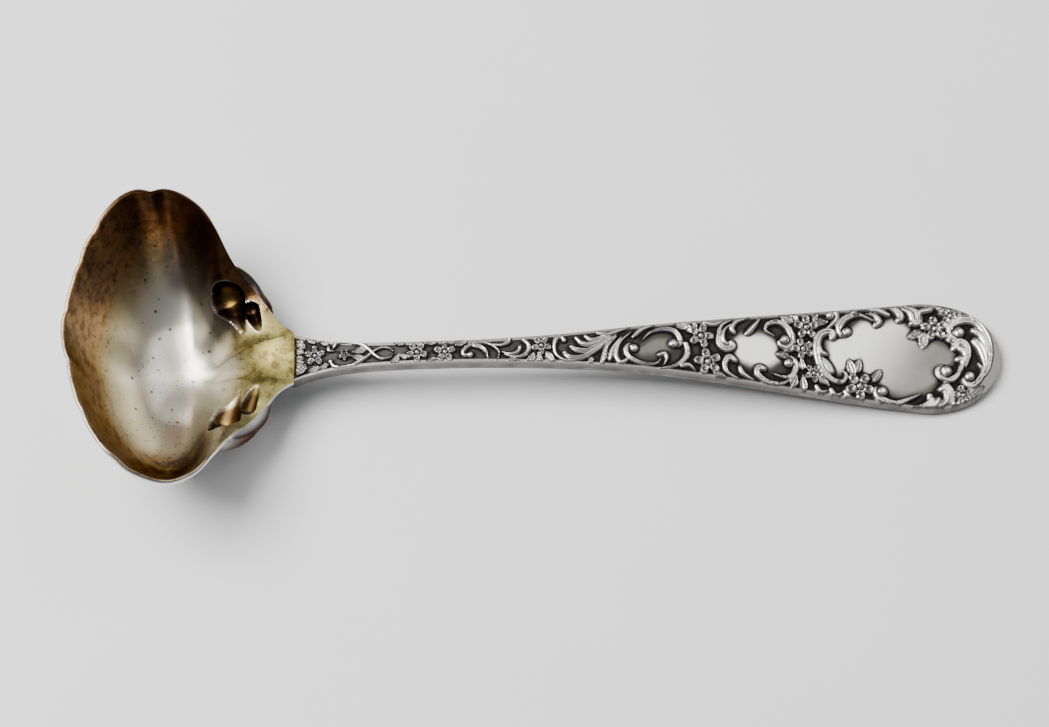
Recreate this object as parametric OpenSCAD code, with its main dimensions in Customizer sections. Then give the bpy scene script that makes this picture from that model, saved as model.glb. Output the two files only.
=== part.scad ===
// Mayonnaise ladle, struck from one blank of sterling silver.
// X runs from the lip of the bowl to the tip of the handle, Z is up, and the
// origin lies under the middle of the whole. The ladle rests on the bowl and on
// the underside of the tip.

/* [Whole] */
// Length over all, lip to tip
overall_l = 128.5; // [115:1:145]
// Wall of the bowl
wall = 0.9; // [0.7:0.05:1.2]
// Wall at the rim of the bowl
rim_t = 0.6; // [0.5:0.05:0.9]

/* [Bowl] */
// Length of the bowl in plan, lip to neck
bowl_l = 30; // [26:0.5:36]
// Width of the bowl between its outermost lips
bowl_w = 42.8; // [36:0.2:50]
// Height of the highest lip above the table
lip_h = 21.6; // [17:0.1:25]
// Distance of the deepest point from the lip
deep_at = 14.5; // [13:0.5:18]
// Flat worn under the bowl, radius
worn_r = 3; // [2:0.5:4]
// Depth of the notches between the lobes of the rim
notch = 0.55; // [0.2:0.05:0.9]
// Radius of the large hollow beside the neck
hollow_r = 2.9; // [2.3:0.1:3.2]
// Radius of the small hollow beside the neck
dimple_r = 1.3; // [0.9:0.05:1.5]

/* [Handle] */
// Width of the handle where it leaves the bowl
neck_w = 7.4; // [6.5:0.1:8.5]
// Width of the stem at its narrowest
stem_w = 3.6; // [3:0.1:5]
// Width of the blade at its shoulders
blade_w = 16.4; // [13:0.1:19]
// Length of the round end beyond the shoulders
end_l = 10.8; // [8:0.1:13]
// Height of the ground of the stem above the table
arch_h = 8.6; // [7:0.1:11]
// Height of the ground where the handle leaves the bowl
neck_h = 7.6; // [6.5:0.1:8.5]
// Rise of the edges of the bowl above its middle at the neck
neck_lift = 0.35; // [0.2:0.05:0.5]
// Thickness of the blade under its ground
blade_t = 1.6; // [1.3:0.1:2]
// Thickness of the stem under its ground
stem_t = 2.3; // [2:0.1:3]

/* [Ornament] */
// Height of the scrolls above the ground
relief_h = 0.5; // [0.3:0.05:0.7]
// Width of a scroll line on the stem
stem_line = 0.5; // [0.35:0.05:0.6]
// Width of a scroll line on the blade
blade_line = 0.8; // [0.55:0.05:0.95]
// Height of the plain fields above the ground
field_h = 0.22; // [0.1:0.02:0.35]

/* [Hidden] */

lip_x = -overall_l / 2;
neck_x = lip_x + bowl_l;
deep_x = lip_x + deep_at;
handle_l = overall_l - bowl_l;
// Depth to which raised work is sunk into the ground, so that it is one with it
sink = 0.3;
// Steps of the bowl: along each stretch of the rim, and from the middle to the rim
rim_steps = 3;
wall_rows = 11;
// Gap left between raised work and the edge of the handle
edge_gap = 0.12;
// Steps of the neck from its middle to one edge
neck_steps = 3;

function mix(a, b, f) = a + (b - a) * f;
function clamp(x, low, high) = min(max(x, low), high);
function smooth(f) = let (c = clamp(f, 0, 1)) c * c * (3 - 2 * c);
function unit(v) = v / norm(v);

// Curve that passes through its points
function catmull(a, b, c, d, f) =
    0.5 * (2 * b + (c - a) * f + (2 * a - 5 * b + 4 * c - d) * f * f + (3 * b - a - 3 * c + d) * f * f * f);
function curve_at(p, u) =
    let (last = len(p) - 1, i = clamp(floor(u), 0, last - 1))
    catmull(p[max(i - 1, 0)], p[i], p[i + 1], p[min(i + 2, last)], u - i);
function curve(p, steps) =
    [for (k = [0 : (len(p) - 1) * steps]) curve_at(p, k / steps)];

// Half of the rim, from the middle of the lip to the neck: part of the bowl's
// length, part of its half width, part of the lip's height, lean of the wall in
// degrees from level, reach of that lean as part of the wall's height, and reach of
// the floor as part of the distance
RIM = [
    [0.000, 0.00, 0.97, 80, 0.62, 0.60],
    [0.035, 0.28, 0.98, 80, 0.62, 0.60],
    [0.100, 0.58, 0.99, 80, 0.62, 0.60],
    [0.200, 0.82, 1.00, 80, 0.60, 0.59],
    [0.300, 0.95, 0.95, 80, 0.60, 0.56],
    [0.443, 1.00, 0.84, 77, 0.60, 0.52],
    [0.560, 0.93, 0.77, 68, 0.60, 0.50],
    [0.645, 0.79, 0.71, 48, 0.58, 0.50],
    [0.728, 0.60, 0.56, 24, 0.59, 0.50],
    [0.810, 0.47, 0.44, 7, 0.68, 0.49],
    [0.885, 0.33, 0.41, -4, 0.80, 0.48],
    [0.945, 0.23, 0.385, -8, 0.98, 0.47]
];

// Notches between the lobes: direction from the deepest point, share of the depth,
// and how fast they die out down the wall
NOTCHES = [[99, 1, 5], [126, 0.5, 10], [142, 0.4, 10], [170, 0.35, 10], [200, 0.5, 10], [228, 0.4, 10], [251, 0.5, 8]];
// Radius of the round floor of the bowl about its deepest point
floor_r = 8;
// Half of a notch's spread, degrees
notch_spread = 3.2;

function notch_share(turn, v) =
    max([for (n = NOTCHES) n[1] * exp(-pow((turn - n[0]) / notch_spread, 2)) * pow(v, n[2])]);

// Rim point as [x, y, z, lean, reach, floor]; side is 1 or -1
function rim_point(u, side) =
    let (r = curve_at(RIM, u))
    [
        lip_x + rim_t + r[0] * (bowl_l - rim_t), side * r[1] * (bowl_w / 2 - rim_t), r[2] * lip_h,
        r[3], r[4] * r[2] * lip_h, r[5]
    ];

// Neck end of the bowl, across from side to side
function neck_point(f) =
    [neck_x, f * neck_w / 2, neck_h + neck_lift * f * f, mix(-3, -8, f * f), neck_h, 0.47];

// Whole rim once around, from the middle of the neck by the +Y side
RIM_LOOP = let (n = (len(RIM) - 1) * rim_steps) concat(
    [for (k = [0 : neck_steps]) neck_point(k / neck_steps)],
    [for (k = [n : -1 : 0]) rim_point(k / rim_steps, 1)],
    [for (k = [1 : n]) rim_point(k / rim_steps, -1)],
    [for (k = [-neck_steps : -1]) neck_point(k / neck_steps)]
);

function bezier(a, b, c, d, v) =
    let (w = 1 - v) w * w * w * a + 3 * w * w * v * b + 3 * w * v * v * c + v * v * v * d;

// Distance to the rim, eased across the corners of the neck, for the floor of the bowl
function eased(reach, turn) =
    let (away = min(turn, 360 - turn), neck = bowl_l - deep_at)
    mix(neck * mix(0.97, 0.895, smooth(away / 30)), reach, smooth((away - 22) / 14));

// Inside of the bowl from its deepest point (v = 0) to rim point r (v = 1)
function inside(r, v) =
    let (
        out = [r[0] - deep_x, r[1]],
        reach = norm(out),
        turn = (atan2(out[1], out[0]) + 360) % 360,
        near = eased(reach, turn),
        p = bezier(
            [0, wall],
            [r[5] * near, wall],
            [near - r[4] * cos(r[3]), r[2] - r[4] * sin(r[3])],
            [reach, r[2]],
            v
        ),
        flat = p[0] - notch * notch_share(turn, v),
        rise = mix(wall + flat * flat / (2 * floor_r), p[1], smooth(flat / floor_r))
    )
    [deep_x + flat * out[0] / reach, flat * out[1] / reach, rise];

// Rows of the bowl's grid; the first lies above the edge of the worn flat
function row_v(j, r) =
    j == 0 ? worn_r / (1.7 * norm([r[0] - deep_x, r[1]])) : pow(j / (wall_rows - 1), 0.85);
BOWL_IN = [for (j = [0 : wall_rows - 1]) [for (r = RIM_LOOP) inside(r, row_v(j, r))]];

// Outward direction at one point of the inner grid
function outward(j, i) =
    let (
        n = len(RIM_LOOP),
        row = BOWL_IN[j],
        along = row[(i + 1) % n] - row[(i + n - 1) % n],
        up = j == wall_rows - 1 ? row[i] - BOWL_IN[j - 1][i]
            : BOWL_IN[j + 1][i] - (j == 0 ? [deep_x, 0, wall] : BOWL_IN[j - 1][i])
    )
    unit(cross(along, up));

// Direction square to the wall, away from the room inside the bowl
function behind(r, v) =
    let (
        t = unit(inside(r, v + 0.02) - inside(r, v - 0.02)),
        out = unit([r[0] - deep_x, r[1], 0])
    )
    unit(out * t[2] - [0, 0, out * t]);

// Hollows struck outwards beside the neck. Each is a drop from a head to a tail:
// place along the rim, place up the wall, radius, and depth of the middle behind the
// wall as part of the radius
HOLLOWS = [
    [[8.2, 0.77, hollow_r, -0.15], [9.9, 0.73, hollow_r * 0.5, -0.9]],
    [[9.37, 0.89, dimple_r, 0], [10.6, 0.86, dimple_r * 0.6, -0.85]]
];
// Those of the +Y side lie nearer the neck by this much
hollow_shift = 0.2;
// The same ends on both sides as [middle, radius, depth behind the wall, direction of it]
HOLLOW_ENDS = [for (side = [1, -1], h = HOLLOWS)
    [for (end = h) let (r = rim_point(end[0] + (side > 0 ? hollow_shift : 0), side)) [inside(r, end[1]), end[2], end[3] * end[2], behind(r, end[1])]]];
// Thickness of the swelling behind a hollow, and how sharply it parts from the wall
swell_t = 2.1;
swell_power = 4;

// Outer point p pushed away from the middle line of one hollow
function swollen(p, h) =
    let (
        a = h[0][0] + h[0][2] * h[0][3],
        b = h[1][0] + h[1][2] * h[1][3],
        f = clamp((p - a) * (b - a) / ((b - a) * (b - a)), 0, 1),
        d = p - mix(a, b, f),
        r = mix(h[0][1], h[1][1], f) + swell_t
    )
    mix(a, b, f) + unit(d) * pow(pow(norm(d), swell_power) + pow(r, swell_power), 1 / swell_power);
function swollen_all(p, k = 0) = k == len(HOLLOW_ENDS) ? p : swollen_all(swollen(p, HOLLOW_ENDS[k]), k + 1);

// Outside of the bowl, with its lowest part worn flat
BOWL_OUT = [for (j = [0 : wall_rows - 1])
    [for (i = [0 : len(RIM_LOOP) - 1])
        let (p = BOWL_IN[j][i], v = row_v(j, RIM_LOOP[i]), q = p + mix(wall, rim_t, pow(v, 6)) * outward(j, i))
        j == 0 ? [p[0], p[1], 0] : mix(q, swollen_all(q), (1 - pow(v, 30)) * smooth(q[2] / 4))]];
// Rounded top of the rim
BOWL_RIM = [for (i = [0 : len(RIM_LOOP) - 1])
    (BOWL_IN[wall_rows - 1][i] + BOWL_OUT[wall_rows - 1][i]) / 2 + [0, 0, RIM_LOOP[i][0] < neck_x ? rim_t / 4 : 0]];

// Two triangles for each quad between two rings, split along the shorter diagonal
function ring_faces(points, a, b, n) = [for (i = [0 : n - 1])
    let (k = (i + 1) % n, down = norm(points[a + i] - points[b + k]), up = norm(points[a + k] - points[b + i]))
    each down <= up ? [[a + i, a + k, b + k], [a + i, b + k, b + i]] : [[a + i, a + k, b + i], [a + k, b + k, b + i]]];
function fan_faces(tip, a, n) = [for (i = [0 : n - 1]) [tip, a + (i + 1) % n, a + i]];
function flip(faces) = [for (f = faces) [f[0], f[2], f[1]]];

module bowl_shell() {
    n = len(RIM_LOOP);
    rings = concat(BOWL_IN, [BOWL_RIM], [for (j = [wall_rows - 1 : -1 : 0]) BOWL_OUT[j]]);
    count = len(rings);
    points = concat([[deep_x, 0, wall]], [for (ring = rings, p = ring) p], [[deep_x, 0, 0]]);
    faces = concat(
        fan_faces(0, 1, n),
        [for (k = [0 : count - 2], f = ring_faces(points, 1 + k * n, 1 + (k + 1) * n, n)) f],
        flip(fan_faces(count * n + 1, 1 + (count - 1) * n, n))
    );
    polyhedron(points, faces);
}

module hollows() {
    for (h = HOLLOW_ENDS)
        hull()
            for (end = h)
                translate(end[0] + end[2] * end[3])
                    sphere(r = end[1], $fn = 12);
}

// The handle is set out in stations s, percent of its length from the neck, and in
// t, percent of the half width across
stem_s = 21;
shoulder_s = 100 - 100 * end_l / handle_l;
function handle_x(s) = neck_x + s / 100 * handle_l;

// Half width of the tapering sides, carried on past the shoulders
function side_w(s) =
    let (
        f = clamp((s - stem_s) / (shoulder_s - stem_s), 0, 1),
        g = clamp((stem_s - s) / stem_s, 0, 1),
        spread = f * f * (3 - 2 * f) + 1.1 * f * f * (f - 1)
    )
    (stem_w + (blade_w - stem_w) * spread + (neck_w - stem_w) * pow(g, 4)) / 2;

// Share of that width left by the round end
end_power = 2.2;
function end_share(s) =
    let (e = clamp((s - shoulder_s) / (100 - shoulder_s), 0, 1)) pow(1 - pow(e, end_power), 1 / end_power);
function edge_w(s) = side_w(s) * end_share(s);

// Height of the ground along the middle, and thickness under it
function ground(s) =
    let (rise = 1 - pow(1 - clamp(s / 22, 0, 1), 2), fall = smooth((s - 42.5) / 53))
    mix(mix(neck_h, arch_h, rise), blade_t, fall);
function thick(s) = mix(stem_t, blade_t, smooth((s - 20) / 60));

// Cross section of the handle as [part of half width, height]
bevel = 0.35;
function section(x, top, w, t) = [for (q = [
    [-1, -bevel], [-0.94, 0], [0.94, 0], [1, -bevel],
    [0.97, -t * 0.72], [0.7, -t], [-0.7, -t], [-0.97, -t * 0.72]
]) [x, q[0] * w, top + q[1]]];

// Heel of the handle, let into the wall of the bowl at the neck
heel_steps = 4;
HEEL = [for (k = [0 : heel_steps - 1])
    let (f = k / heel_steps, p = inside(neck_point(0), mix(0.62, 1, f)))
    section(p[0], p[2] - wall / 2, mix(0.25, 0.48, f) * neck_w, mix(wall / 2, stem_t - wall / 2, f))];

function end_station(turn) = shoulder_s + (100 - shoulder_s) * pow(sin(turn), 2 / end_power);
STATIONS = concat(
    [for (s = [0 : 3 : 18]) s],
    [for (s = [23 : 5 : 83]) s],
    [for (turn = [0, 25, 42, 55, 65, 74, 81, 86]) end_station(turn)]
);
BODY = concat(HEEL, [for (s = STATIONS) section(handle_x(s), ground(s), edge_w(s), thick(s))]);

module loft(sections) {
    n = len(sections[0]);
    last = len(sections) - 1;
    points = [for (ring = sections, p = ring) p];
    sides = [for (k = [0 : last - 1], f = ring_faces(points, k * n, (k + 1) * n, n)) f];
    polyhedron(points, concat(sides, [[for (i = [n - 1 : -1 : 0]) i]], [[for (i = [0 : n - 1]) last * n + i]]));
}

// Width of a plain scroll line at a station
function line_w(s) = mix(stem_line, blade_line, clamp((side_w(s) * 2 - stem_w) / (blade_w - stem_w), 0, 1));

// Swell of a line from its head to its tail
function swell(f) = mix(0.75, 1, sin(180 * f)) * mix(1, 0.35, f * f);

// Place on the handle seen from above: station and percent across
function plan(q) = [handle_x(q[0]), q[1] / 100 * side_w(q[0])];

// Stands work on the sloping ground at one place
module on_ground(place) {
    p = plan(place);
    slope = (ground(place[0] + 1) - ground(place[0] - 1)) / (handle_x(place[0] + 1) - handle_x(place[0] - 1));
    multmatrix([[1, 0, 0, p[0]], [0, 1, 0, p[1]], [slope, 0, 1, ground(place[0])]])
        children();
}

// Scroll line: a ridge along its places, its foot sunk into the ground
module line(size, places) {
    path = curve(places, size > 1.25 ? 2 : 1);
    last = len(path) - 1;
    rows = [for (i = [0 : last])
        let (
            mid = plan(path[i]),
            d = unit(plan(path[min(i + 1, last)]) - plan(path[max(i - 1, 0)])),
            grow = swell(i / last),
            half = size * line_w(path[i][0]) * grow / 2 * (relief_h + sink) / relief_h,
            z = ground(path[i][0])
        )
        [
            [mid[0] + d[1] * half, mid[1] - d[0] * half, z - sink],
            [mid[0], mid[1], z + relief_h * mix(0.6, 1, grow)],
            [mid[0] - d[1] * half, mid[1] + d[0] * half, z - sink]
        ]];
    for (i = [0 : last - 1])
        hull()
            loft([rows[i], rows[i + 1]]);
}

// Scrolls of the stem and the blade: size of the line, radius of the eye at its
// head, and its course from the head to the tail
SCROLLS = [
    [1.0, 0.00, [[4.8, 52], [4.9, 32], [5.7, 28]]],
    [1.1, 0.34, [[5.1, -35], [5.6, -66], [7.0, -84], [8.6, -66], [10.2, -20], [11.2, 20], [12.4, 46], [13.6, 34], [13.9, 2]]],
    [1.1, 0.00, [[5.6, 54], [6.2, 84], [7.7, 92], [9.5, 73], [10.4, 42], [11.4, -13], [12.3, -40], [13.5, -32], [13.9, 2]]],
    [1.2, 0.42, [[24.7, -32], [23.8, -34], [23.7, 0], [24.7, 44], [26.4, 62], [27.9, 30], [28.7, -20], [28.4, -78]]],
    [1.3, 0.00, [[25.2, 38], [26.2, 25], [26.9, -12], [27.1, -64]]],
    [1.1, 0.30, [[30.2, 78], [29.9, 50], [28.8, 34], [27.4, 50]]],
    [1.1, 0.28, [[31.6, 12], [31.2, -20], [30.1, -32], [29.0, -14]]],
    [1.2, 0.34, [[32.2, 60], [32.8, 30], [32.7, -14], [31.9, -46], [30.6, -52], [29.4, -34]]],
    [1.2, 0.36, [[37.8, 46], [37.4, 68], [36.7, 56], [36.4, 10], [36.7, -40], [38.0, -74], [40.0, -66]]],
    [1.3, 0.30, [[37.8, -30], [38.6, -56], [40.4, -52], [42.3, -12], [43.8, 28], [45.2, 58]]],
    [1.3, 0.30, [[38.8, 4], [39.7, -14], [41.3, -14], [42.8, 18], [44.4, 52]]],
    [1.2, 0.00, [[39.5, 54], [40.3, 24], [41.6, 16], [43.2, 40], [44.9, 64]]],
    [1.1, 0.00, [[40.8, 60], [41.7, 40], [43.2, 50], [45.4, 74]]],
    [1.0, 0.00, [[42.5, 74], [43.9, 62], [45.4, 74], [47.2, 88]]],
    [1.3, 0.00, [[42.9, -86], [43.3, -50], [43.8, 4], [45.2, 50]]],
    [1.1, 0.00, [[44.1, -62], [44.6, -6], [46.0, 52]]],
    [1.2, 0.00, [[46.4, -62], [45.5, -72], [45.0, -38], [45.6, 20], [47.3, 68]]],
    [1.3, 0.60, [[47.6, -6], [47.0, 8], [46.4, -14], [46.9, -48], [48.6, -70], [50.5, -68], [51.3, -46]]],
    [1.3, 0.60, [[53.1, 14], [53.9, 10], [54.1, 34], [53.3, 62], [51.6, 70], [49.9, 58], [48.7, 26]]],
    [1.0, 0.00, [[47.5, 44], [48.8, 74], [50.6, 88]]],
    [1.2, 0.00, [[51.1, -32], [51.8, -26], [52.1, -44], [51.6, -74]]],
    [1.3, 0.00, [[54.9, 14], [55.1, -14], [54.6, -42], [53.2, -70], [51.0, -86]]],
    [1.0, 0.00, [[54.2, -68], [55.2, -62], [56.1, -80]]],
    [0.9, 0.30, [[57.7, 84], [59.0, 77], [60.6, 88]]],
    [1.4, 0.00, [[61.4, 20], [61.6, 8], [60.6, 0], [59.7, 16], [59.7, 46], [60.2, 74], [61.8, 90]]],
    [0.9, 0.00, [[60.9, 14], [60.3, 28], [60.5, 58], [61.6, 78]]],
    [1.1, 0.00, [[61.9, 50], [61.6, 64], [62.3, 82], [64.2, 92]]],
    [1.2, 0.00, [[63.7, 46], [64.6, 64], [65.8, 88]]],
    [1.4, 0.60, [[69.1, 31], [68.5, 22], [69.3, 13], [70.2, 30], [69.8, 58], [68.4, 76], [66.8, 72], [66.5, 55], [67.7, 40]]],
    [1.3, 0.60, [[69.4, -29], [69.7, -17], [70.5, -30], [70.1, -54], [68.9, -66], [66.9, -60]]],
    [1.3, 0.00, [[65.9, -50], [65.1, -48], [64.9, -66], [66.2, -84], [68.2, -84], [69.7, -68]]],
    [1.1, 0.00, [[62.4, -54], [62.9, -72], [64.4, -86]]],
    [1.3, 0.00, [[61.8, -34], [61.0, -24], [60.3, -44], [60.6, -72], [62.2, -88]]],
    [1.1, 0.55, [[75.9, 86], [76.8, 92], [76.8, 76], [75.9, 63], [75.0, 55]]],
    [1.5, 0.00, [[76.1, 36], [76.2, 47], [75.2, 50], [74.1, 38], [73.7, 4], [74.2, -34], [75.6, -58], [77.1, -60], [77.7, -44], [77.3, -37]]],
    [1.0, 0.00, [[75.0, -2], [74.3, 4], [74.2, 24]]],
    [1.4, 0.00, [[75.6, -40], [74.9, -22], [74.1, -8]]],
    [1.5, 0.65, [[78.3, 49], [77.6, 45], [77.3, 62], [78.2, 78], [80.2, 84], [82.3, 70]]],
    [1.1, 0.00, [[84.5, 80], [82.8, 91], [80.6, 95], [78.8, 88]]],
    [1.2, 0.40, [[82.5, 60], [83.1, 69], [82.5, 80], [81.3, 85]]],
    [1.3, 0.40, [[85.9, 68], [86.3, 78], [85.2, 92], [83.6, 96]]],
    [1.3, 0.40, [[87.8, 61], [88.8, 64], [88.7, 82], [87.0, 95]]],
    [1.2, 0.00, [[88.0, 66], [87.8, 80], [86.6, 90]]],
    [1.0, 0.40, [[90.7, 86], [89.4, 83], [88.9, 84]]],
    [1.5, 0.75, [[94.6, 44], [93.7, 36], [93.5, 54], [95.2, 66], [97.2, 60], [98.4, 38], [98.8, 10], [98.4, -20], [97.6, -38]]],
    [1.2, 0.00, [[96.6, 46], [97.7, 36], [98.2, 16], [98.2, -6]]],
    [1.6, 0.00, [[96.7, 26], [97.5, 14], [97.9, -10], [97.7, -28]]],
    [1.3, 0.70, [[95.5, -37], [94.8, -44], [95.6, -54], [96.9, -42], [97.4, -26], [96.8, -14]]],
    [1.5, 0.72, [[92.3, -27], [91.4, -24], [91.4, -35], [92.8, -42], [93.9, -32], [94.2, -18]]],
    [1.3, 0.00, [[93.6, 14], [94.2, 26], [95.3, 22], [95.7, 4], [95.1, -20]]],
    [1.2, 0.00, [[94.3, 15], [95.1, 6], [94.9, -16]]],
    [1.2, 0.00, [[94.0, -6], [94.7, -8], [94.4, -28]]],
    [1.3, 0.00, [[91.3, -60], [92.1, -56], [92.7, -70], [92.1, -88]]],
    [1.2, 0.00, [[91.9, -66], [91.8, -82], [90.6, -94]]],
    [1.2, 0.00, [[90.7, -79], [90.0, -90], [88.9, -96]]],
    [1.3, 0.40, [[89.5, -72], [89.5, -84], [88.4, -92], [86.8, -96]]],
    [1.4, 0.68, [[82.8, -71], [81.9, -70], [82.3, -85], [84.2, -93], [86.0, -84], [88.2, -70]]],
    [1.0, 0.00, [[73.2, -78], [73.8, -90], [74.9, -84]]],
    [1.0, 0.00, [[75.3, -81], [75.9, -93], [77.0, -84]]],
    [1.0, 0.00, [[77.3, -81], [78.0, -94], [79.2, -92]]]
];

module scrolls() {
    for (c = SCROLLS)
        line(c[0], c[2]);
}

// Five petalled flowers: station, percent across, radius to the petals' middles, turn
FLOWERS = [
    [2.9, 4, 1.05, 90], [7.1, 0, 0.62, 60], [17.2, 0, 1.1, 54], [21.1, -5, 1.1, 90],
    [34.6, 22, 1.0, 54], [57.1, 42, 1.3, 72], [57.9, -45, 1.4, 100], [72.4, 61, 1.3, 90],
    [71.7, 9, 1.15, 36], [73.0, -48, 1.0, 60], [79.5, -66, 1.5, 54], [91.1, 51, 1.35, 95],
    [93.5, 74, 1.2, 80], [94.3, -72, 1.1, 30]
];

// A ring of petals that rise from the middle and fall to their tips
module flower(place, r, turn) {
    foot = [for (k = [0 : 4], q = [[-36, 0.75], [-17, 1.5], [17, 1.5]])
        let (a = turn + k * 72 + q[0]) [r * q[1] * cos(a), r * q[1] * sin(a), -sink]];
    tops = [for (k = [0 : 4]) let (a = turn + k * 72) [r * cos(a), r * sin(a), relief_h * 0.85]];
    sides = [for (k = [0 : 4]) let (n = (k + 1) % 5, a = 3 * k, t = 15 + k)
        each [[a, a + 1, t], [a + 1, a + 2, t], [a + 2, 3 * n, t], [3 * n, 15 + n, t], [t, 15 + n, 20]]];
    on_ground(place)
        polyhedron(concat(foot, tops, [[0, 0, 0.1]]), concat(flip(sides), [[for (i = [0 : 14]) i]]));
}

// Pointed leaves: station, percent across, length, direction
LEAVES = [
    [0.8, 57, 1.8, 140], [0.6, 24, 1.5, 172], [0.5, -6, 1.5, 180], [0.6, -32, 1.5, 195], [0.9, -56, 1.9, 218],
    [2.4, 80, 1.4, 150], [4.2, 74, 1.2, 160], [2.8, -66, 1.4, 200], [4.2, -60, 1.2, 200],
    [9.2, 27, 1.7, 190], [9.0, -24, 1.5, 165], [14.2, -62, 1.7, 60], [14.8, 76, 1.3, 170], [15.3, -30, 1.2, 150],
    [19.3, 72, 1.4, 0], [19.2, -76, 1.4, 25], [23.3, 64, 1.6, 10], [30.8, -84, 1.6, -15], [33.2, -62, 1.7, 62],
    [34.3, -60, 1.4, 100], [35.8, -58, 1.7, -52], [41.4, -74, 1.2, 240],
    [54.3, 80, 1.8, 150], [55.3, 70, 1.6, 130], [56.3, 80, 1.3, 100], [59.4, -84, 1.6, -22],
    [69.5, 84, 1.9, 150], [70.8, 86, 1.4, 120], [73.8, 84, 1.3, 60], [74.5, 72, 1.8, 5],
    [69.6, 4, 1.2, 190], [68.6, -9, 1.7, 178], [71.4, -30, 1.5, 95], [70.1, -74, 1.8, 65], [71.4, -76, 1.9, 92],
    [74.3, -64, 1.6, -40], [78.5, -28, 2.1, 105], [79.5, -24, 1.9, 72], [82.1, -42, 1.9, 52],
    [88.1, 40, 2.1, 205], [89.3, 28, 2.3, 255], [93.0, 32, 1.4, 285], [96.3, 73, 2.1, -42], [92.2, 88, 1.4, 110],
    [96.3, -66, 2.0, 38], [92.8, -86, 1.3, 80]
];

module leaf(place, l, turn) {
    w = l * 0.5;
    on_ground(place)
        rotate(turn)
            polyhedron(
                [[-l * 0.6, 0, -sink], [l * 0.7, 0, -sink], [-l * 0.08, w * 0.6, -sink], [-l * 0.08, -w * 0.6, -sink],
                    [-l * 0.12, 0, relief_h * 0.8]],
                [[4, 2, 1], [4, 1, 3], [4, 3, 0], [4, 0, 2], [0, 3, 1, 2]]
            );
}

// Plain fields inside the scrolls: station, lower and upper edge in percent across
FIELDS = [
    [[47.6, -18, 8], [49.0, -50, 34], [50.4, -54, 58], [51.8, -44, 60], [53.2, -18, 44]],
    [[61.4, -20, 30], [62.8, -46, 54], [64.8, -56, 56], [66.8, -52, 50], [68.8, -26, 16]],
    [[74.9, -20, 34], [76.6, -48, 44], [78.6, -42, 58], [80.8, -52, 78], [83.2, -72, 70], [85.6, -84, 78],
        [87.8, -76, 56], [90.0, -62, 40], [92.0, -34, 28], [94.0, -10, 12]]
];

module field(stations) {
    path = curve(stations, 2);
    loft([for (q = path) let (low = plan([q[0], q[1]]), high = plan([q[0], q[2]]), z = ground(q[0])) [
        [low[0], low[1], z - sink], [low[0], low[1] + field_h * 2, z + field_h],
        [high[0], high[1] - field_h * 2, z + field_h], [high[0], high[1], z - sink]
    ]]);
}

// Round eyes of the volutes and middles of the flowers, standing above the rest
module eye(place, r) {
    on_ground(place)
        translate([0, 0, -sink])
            cylinder(r1 = r * 1.1, r2 = r * 0.6, h = sink + relief_h * 1.2, $fn = 8);
}

module eyes() {
    for (c = SCROLLS)
        if (c[1] > 0)
            eye(c[2][0], c[1] * 0.9);
    for (f = FLOWERS)
        eye([f[0], f[1]], f[2] * 0.34);
}

module handle_plan() {
    polygon(concat([for (s = STATIONS) [handle_x(s), edge_w(s) - edge_gap]],
        [for (i = [len(STATIONS) - 1 : -1 : 0]) [handle_x(STATIONS[i]), edge_gap - edge_w(STATIONS[i])]]));
}

module ornament() {
    intersection() {
        translate([-2, 0, 0])
            linear_extrude(height = 2 * arch_h)
                handle_plan();
        union() {
            for (f = FIELDS)
                field(f);
            for (f = LEAVES)
                leaf([f[0], f[1]], f[2], f[3]);
            for (f = FLOWERS)
                flower([f[0], f[1]], f[2], f[3]);
            scrolls();
            eyes();
        }
    }
}

module ladle() {
    color("silver")
        difference() {
            union() {
                bowl_shell();
                loft(BODY);
                ornament();
            }
            hollows();
        }
}

ladle();
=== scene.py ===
import math

import bpy
import numpy as np
from mathutils import Matrix, Vector


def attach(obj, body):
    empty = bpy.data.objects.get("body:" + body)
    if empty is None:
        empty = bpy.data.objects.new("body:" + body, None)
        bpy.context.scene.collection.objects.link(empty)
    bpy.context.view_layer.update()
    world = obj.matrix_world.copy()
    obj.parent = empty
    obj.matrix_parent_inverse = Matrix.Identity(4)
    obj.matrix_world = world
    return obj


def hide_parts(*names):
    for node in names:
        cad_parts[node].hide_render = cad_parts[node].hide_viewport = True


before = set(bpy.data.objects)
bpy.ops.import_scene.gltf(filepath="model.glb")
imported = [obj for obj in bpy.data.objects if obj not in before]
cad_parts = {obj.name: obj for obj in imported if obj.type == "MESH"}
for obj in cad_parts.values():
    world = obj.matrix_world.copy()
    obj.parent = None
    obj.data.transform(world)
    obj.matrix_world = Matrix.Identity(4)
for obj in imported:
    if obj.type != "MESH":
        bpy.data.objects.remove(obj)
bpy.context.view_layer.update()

# Sizes in millimetres, the same values as in the CAD source
OVERALL_L = 128.5
WALL = 0.9
RIM_T = 0.6
BOWL_L = 30.0
BOWL_W = 42.8
LIP_H = 21.6
DEEP_AT = 14.5
WORN_R = 3.0
NOTCH = 0.55
HOLLOW_R = 2.9
DIMPLE_R = 1.3
NECK_W = 7.4
STEM_W = 3.6
BLADE_W = 16.4
END_L = 10.8
ARCH_H = 8.6
NECK_H = 7.6
NECK_LIFT = 0.35
BLADE_T = 1.6
STEM_T = 2.3
RELIEF_H = 0.5
STEM_LINE = 0.5
BLADE_LINE = 0.8
FIELD_H = 0.22
SWELL_T = 2.1
FLOOR_R = 8.0
# Powers of two curves, the width of a notch in degrees, and the station of the stem's
# narrowest place in percent of the handle's length, also as in the CAD source
SWELL_POWER = 4
END_POWER = 2.2
NOTCH_SPREAD = 3.2
STEM_S = 21.0
MM = 0.001

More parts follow.
